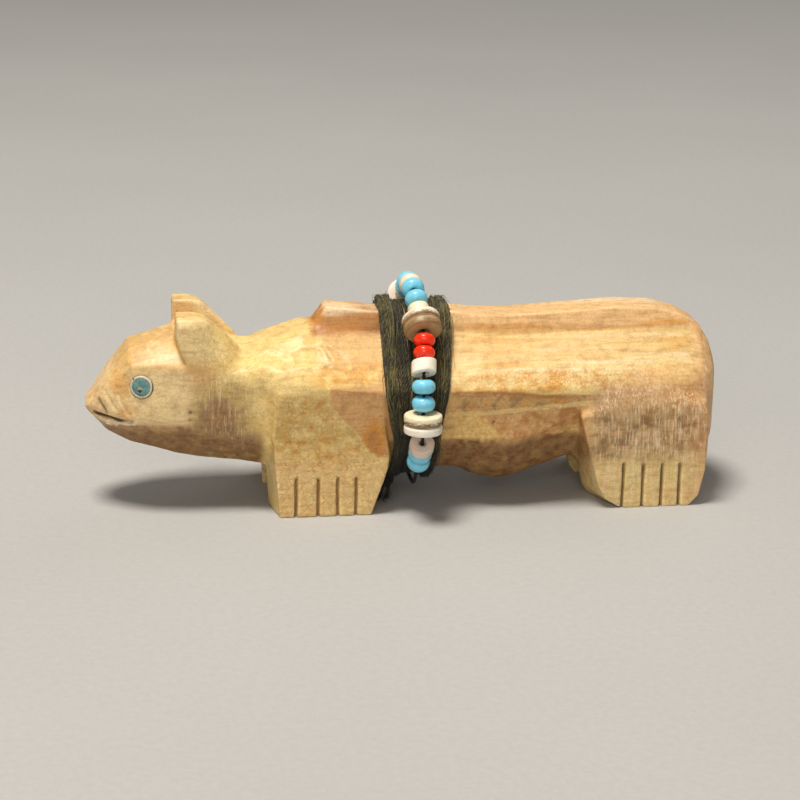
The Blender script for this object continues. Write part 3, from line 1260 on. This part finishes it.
def strand_points():
    """The string's line: through every bead in turn, and bare under the belly, where its knot is."""
    places = {joint["child"]: np.array(joint["pos_m"]) / MM for joint in frame["joints"]}
    names = sorted(places)
    centres = [places[name] for name in names]
    turn = next(i for i in range(1, len(names)) if centres[i - 1][1] > 0 > centres[i][1])
    lowest = node_points("bead_string")[:, 2].min()
    knot = np.array((STRAND_MIDDLE[0], 0.0, lowest + STRING_KNOT_RADIUS))
    right = [knot + (0, y, z) for y, z in BARE_STRING]
    bare = right + [point * (1, -1, 1) for point in right[-2::-1]]
    return np.array(centres[:turn] + bare + centres[turn:]), knot


# How many steps a curve takes between two of the points it passes, and the points of a knot's line.
CURVE_STEPS = 12
KNOT_POINTS = 90


def curve_through(points, count, closed):
    """A smooth line through points, by Catmull-Rom pieces."""
    total = len(points)
    result = []
    for i in range(total if closed else total - 1):
        index = [(i + k) % total if closed else min(max(i + k, 0), total - 1) for k in (-1, 0, 1, 2)]
        p0, p1, p2, p3 = (points[k] for k in index)
        for t in np.linspace(0, 1, CURVE_STEPS, endpoint=False):
            result.append(0.5 * ((2 * p1) + (p2 - p0) * t + (2 * p0 - 5 * p1 + 4 * p2 - p3) * t ** 2
                                 + (3 * p1 - p0 - 3 * p2 + p3) * t ** 3))
    if not closed:
        result.append(points[-1])
    return resample(result, count, closed)


# ---------------- the thread

# The thread's radius and the length of one twist, the points along one turn of the wrap, how thick the CAD
# wrap is, how far a turn wanders along the body, how far the noise that moves it runs in one turn, and how
# high the turns pile up where a bundle is narrow.
THREAD_RADIUS = 0.215
THREAD_PITCH = 1.5
TURN_POINTS = 210
WRAP_THICKNESS = 0.5
WANDER = 0.13
WANDER_PER_TURN = 9.0
PILE_HEIGHT = 0.32


def thread_finish(name, dark, light):
    """Waxed thread: dark fibres with olive lights, running along each ply."""
    finish = Finish(name)
    along = finish.attribute("thread_along")
    shade = finish.attribute("thread_shade")
    across = [finish.times(finish.attribute(name), 1.6) for name in ("thread_x", "thread_y")]
    own = finish.plus(across[1], finish.times(shade, 7.0))
    place = finish.combined(finish.times(along, 0.8), across[0], own)
    fibres = finish.noise(0.55, 3.0, 0.65, place=place)
    patches = finish.noise(1.6, 3.0, 0.6)
    amount = finish.plus(finish.times(fibres, 0.75), finish.times(patches, 0.35))
    amount = finish.plus(amount, finish.times(shade, 0.32))
    middling = tuple((a + b) / 6.0 for a, b in zip(dark, light))
    colour = finish.ramp(amount, [(0.55, dark), (0.68, middling), (0.88, light)])
    colour = finish.mix(finish.between(finish.height(), 4.0, 11.0, 0.15, 1.0), dark, colour)
    finish.set(Base_Color=colour, Roughness=0.58, Specular_IOR_Level=0.35)
    finish.relief(fibres, 0.05, 0.8)
    finish.set(Sheen_Weight=0.12, Sheen_Roughness=0.5)
    return finish.material


def wrap_outline():
    """The wrap's outer outline round the body, as (y, z) points, with the direction out of it at each."""
    both = np.vstack([node_points("wrap_front_bundle"), node_points("wrap_rear_bundle")])
    flat = both[:, 1:]
    hull = flat[convex_hull_2d([tuple(p) for p in flat])]
    outline = resample(hull, TURN_POINTS, True)
    for _ in range(4):
        outline = 0.5 * outline + 0.25 * (np.roll(outline, 1, 0) + np.roll(outline, -1, 0))
    along = unit(np.roll(outline, -1, 0) - np.roll(outline, 1, 0))
    out = np.column_stack([along[:, 1], -along[:, 0]])
    if np.sum(out * (outline - outline.mean(0))) < 0:
        out = -out
    start = np.argmax(-np.abs(outline[:, 0]) + 10 * (outline[:, 1] < outline[:, 1].mean()))
    return np.roll(outline, -start, 0), np.roll(out, -start, 0)


def bundle_edges(name):
    """How far along the body a bundle's two edges lie, each as (heights, places)."""
    points = node_points(name)
    middle = (points[:, 0].min() + points[:, 0].max()) / 2
    edges = []
    for chosen, pick in ((points[:, 0] < middle, np.min), (points[:, 0] > middle, np.max)):
        side = points[chosen]
        levels = side[:, 2].round(1)
        heights = np.unique(levels)
        edges.append((heights, np.array([pick(side[levels == height, 0]) for height in heights])))
    return edges


def wind(shape, outline, out, edges, shares, turns, rise, crowd, seed, shade):
    """Winds a thread round the body. edges give its two limits along the body by height, shares the part of
    that width it starts and ends at, rise how far its middle is off the stone, and crowd how many layers
    it piles up in where the bundle is narrow."""
    count = TURN_POINTS * turns
    step = np.arange(count + 1)
    around = step % TURN_POINTS
    ring, normal = outline[around], out[around]
    low = np.interp(ring[:, 1], *edges[0])
    high = np.interp(ring[:, 1], *edges[1])
    share = shares[0] + (shares[1] - shares[0]) * step / count
    place = np.column_stack([step * WANDER_PER_TURN / TURN_POINTS, 0 * step, 0 * step]) + seed * 17.0
    inset = THREAD_RADIUS * 0.9
    x = low + inset + (high - low - 2 * inset) * share + WANDER * layered(place, 3.0, seed, 2)
    tight = np.clip(1 - (high - low) / (turns * 2 * THREAD_RADIUS / abs(shares[1] - shares[0])), 0, 1)
    layer = (step // TURN_POINTS + 0.5 * speckle(place, 6.0, seed + 5)) % crowd
    lift = rise + PILE_HEIGHT * tight * layer / (crowd - 1) + 0.04 * speckle(place, 1.5, seed + 9)
    points = np.column_stack([x, ring + normal * (lift - WRAP_THICKNESS)[:, None]])
    add_plied(shape, points, THREAD_RADIUS, 3, THREAD_PITCH, shade)
    return points, np.column_stack([0 * x, normal])


def add_fibres(shape, points, normals, count, reach):
    """Loose fibres that lie along the thread and lift off it at their ends."""
    for _ in range(count):
        length = int(rng.integers(6, 26))
        start = int(rng.integers(0, len(points) - length - 1))
        line = points[start:start + length + 1].copy()
        out = normals[start:start + length + 1]
        t = np.linspace(0, 1, len(line))
        rise = THREAD_RADIUS * (0.9 + 0.25 * rng.random()) + reach * rng.random() ** 3 * t ** 3
        line += out * rise[:, None]
        line[:, 0] += rng.normal(0, 0.16) + rng.normal(0, 0.22) * t
        line[:, 0] += 0.08 * np.sin(t * rng.uniform(3, 9) + rng.uniform(0, 6))
        line = resample(line, max(5, length // 2), False)
        width = rng.uniform(0.018, 0.042)
        taper = width * (1 - 0.7 * np.linspace(0, 1, len(line)) ** 2)
        add_tube(shape, line, taper, 3, rng.uniform(0.2, 1.0))


# For each bundle: how many loose fibres each winding has, how far they lift, and the windings, as (shares
# of the width, turns, rise, crowd, seed, shade).
WRAP = [
    ("front", 260, 0.5, [((0.0, 1.0), 9, 0.2, 2, 401, 0.0), ((0.42, 0.06), 4, 0.5, 2, 411, 0.25)]),
    ("rear", 220, 0.4, [((0.0, 1.0), 9, 0.2, 3, 421, 0.0), ((0.95, 0.55), 3, 0.42, 2, 431, 0.2)]),
]


def make_wrap(material):
    """Two bundles of wound thread, each with a few looser turns over it, and stray fibres."""
    outline, out = wrap_outline()
    for end, fibres, reach, windings in WRAP:
        bundle = f"wrap_{end}_bundle"
        shape = Shape()
        laid = [wind(shape, outline, out, bundle_edges(bundle), *winding) for winding in windings]
        for points, normals in laid:
            add_fibres(shape, points, normals, fibres, reach)
        shape.piece(f"wrap_{end}_threads", material, "carving", [bundle])


def trefoil(middle, size):
    """An overhand knot's closed line, flattened along Y."""
    t = np.linspace(0, 2 * math.pi, KNOT_POINTS)
    line = np.column_stack([np.sin(t) + 2 * np.sin(2 * t), -np.sin(3 * t), np.cos(t) - 2 * np.cos(2 * t)])
    return np.array(middle) + line / 3 * np.array(size)


def make_wrap_knot(material):
    """The knot behind the left front leg, with two cut ends that fray."""
    points = node_points("wrap_knot")
    low = points.min(0)
    top = points[points[:, 2] > 1.6]
    middle = (top.min(0) + top.max(0)) / 2
    shape = Shape()
    add_plied(shape, trefoil(middle, (0.42, 0.45, 0.52)), 0.19, 3, 1.2)
    foot_front = np.array((low[0] + 0.2, middle[1] + 0.15, low[2] + 0.05))
    foot_rear = np.array((middle[0] - 0.35, low[1] + 0.2, low[2] + 0.3))
    for foot, bend in ((foot_front, (-0.15, -0.25, 0.1)), (foot_rear, (0.1, -0.15, 0.0))):
        halfway = middle * 0.55 + foot * 0.45 + bend
        line = curve_through(np.array([middle, halfway, foot * 0.9 + middle * 0.1]), 26, False)
        add_plied(shape, line, 0.17, 3, 1.3)
        for _ in range(26):
            start = line[int(rng.integers(12, 25))]
            tip = foot + rng.normal(0, 0.22, 3) * (1, 1, 0.6)
            tip[2] = max(tip[2], 0.08)
            bow = (start + tip) / 2 + rng.normal(0, 0.1, 3)
            strand = curve_through(np.array([start, bow, tip]), 8, False)
            add_tube(shape, strand, 0.026, 3, rng.uniform(0, 0.6))
    shape.piece("wrap_knot_threads", material, "carving", ["wrap_knot"])


def make_string(material):
    """The twisted string through the beads, tied under the belly."""
    corners, knot = strand_points()
    line = curve_through(corners, 1100, True)
    shape = Shape()
    add_plied(shape, np.vstack([line, line[:2]]), 0.19, 2, 0.8)
    add_plied(shape, trefoil(knot, (0.24, 0.34, 0.24)), 0.12, 2, 0.7)
    shape.piece("strand_string", material, "carving", ["bead_string"])


# ---------------- floor, lights and camera

def floor_finish():
    finish = Finish("floor")
    cloud = finish.noise(60.0, 3.0, 0.5)
    weave = finish.noise(0.7, 3.0, 0.6)
    colour = finish.mix(cloud, (0.44, 0.43, 0.41), (0.50, 0.49, 0.465))
    colour = finish.mix(finish.between(weave, 0.3, 0.7, 0.0, 0.25), colour, (0.37, 0.36, 0.34))
    finish.set(Base_Color=colour, Roughness=0.85, Specular_IOR_Level=0.2)
    finish.relief(weave, 0.12, 0.4)
    return finish.material


# The floor's radii and heights, in millimetres.
FLOOR_PROFILE = [(0.001, 0.0), (60, 0.0), (150, 0.0), (400, 0.0), (900, 0.0), (1300, 30.0),
                 (1600, 160.0), (1750, 420.0), (1800, 900.0)]


def make_floor():
    """A round pale floor that rises gently to a wall all round, far behind the object."""
    points, faces = lathed(np.array(FLOOR_PROFILE), 96, False)
    mesh = bpy.data.meshes.new("floor")
    mesh.from_pydata((points * MM).tolist(), [], faces)
    set_smooth(mesh, floor_finish())
    floor = new_object("floor", mesh)


def area_light(name, place, aim, size, power, colour):
    data = bpy.data.lights.new(name, "AREA")
    data.shape = "DISK"
    data.size = size
    data.energy = power
    data.color = colour
    light = new_object(name, data)
    light.location = place
    light.rotation_euler = (Vector(aim) - Vector(place)).to_track_quat("-Z", "Y").to_euler()


def light_scene():
    middle = (0.0, 0.0, 0.01)
    area_light("key", (-0.10, -0.06, 0.52), middle, 0.16, 3.0, (1.0, 0.96, 0.90))
    area_light("front_fill", (-0.15, -0.65, 0.28), middle, 0.5, 1.7, (1.0, 0.96, 0.92))
    area_light("back_fill", (0.35, 0.45, 0.45), middle, 0.5, 0.5, (0.97, 0.98, 1.0))
    world = bpy.data.worlds.new("studio")
    world.use_nodes = True
    background = world.node_tree.nodes["Background"]
    background.inputs["Color"].default_value = (1.0, 0.98, 0.95, 1.0)
    background.inputs["Strength"].default_value = 0.16
    bpy.context.scene.world = world


# The camera stands in front of the left side, a little towards the nose, looks down and leans a little. Its
# aim and distance are in metres.
CAMERA_AIM = Vector((-0.4, 0.0, 9.1)) * MM
CAMERA_DISTANCE = 0.220
CAMERA_AZIMUTH = math.radians(-9.0)
CAMERA_ELEVATION = math.radians(18.0)
CAMERA_LEAN = math.radians(1.1)
CAMERA_LENS = 102.5


def make_camera():
    data = bpy.data.cameras.new("camera")
    data.lens = CAMERA_LENS
    data.sensor_width = 36.0
    data.clip_start = 0.01
    data.clip_end = 20.0
    camera = new_object("camera", data)
    level = math.cos(CAMERA_ELEVATION)
    back = Vector((math.sin(CAMERA_AZIMUTH) * level, -math.cos(CAMERA_AZIMUTH) * level,
                   math.sin(CAMERA_ELEVATION)))
    camera.rotation_mode = "QUATERNION"
    camera.location = CAMERA_AIM + back * CAMERA_DISTANCE
    lean = Matrix.Rotation(CAMERA_LEAN, 3, "Z")
    camera.rotation_quaternion = ((-back).to_track_quat("-Z", "Y").to_matrix() @ lean).to_quaternion()
    bpy.context.scene.camera = camera
    bpy.context.scene.view_settings.view_transform = "Standard"


make_stone()
make_eyes()
make_wrap(thread_finish("waxed_thread", (0.006, 0.005, 0.003), (0.29, 0.235, 0.07)))
make_wrap_knot(thread_finish("knot_thread", (0.006, 0.005, 0.004), (0.06, 0.05, 0.03)))
make_beads()
make_string(thread_finish("strand_string", (0.006, 0.005, 0.005), (0.05, 0.045, 0.04)))
make_floor()
light_scene()
make_camera()
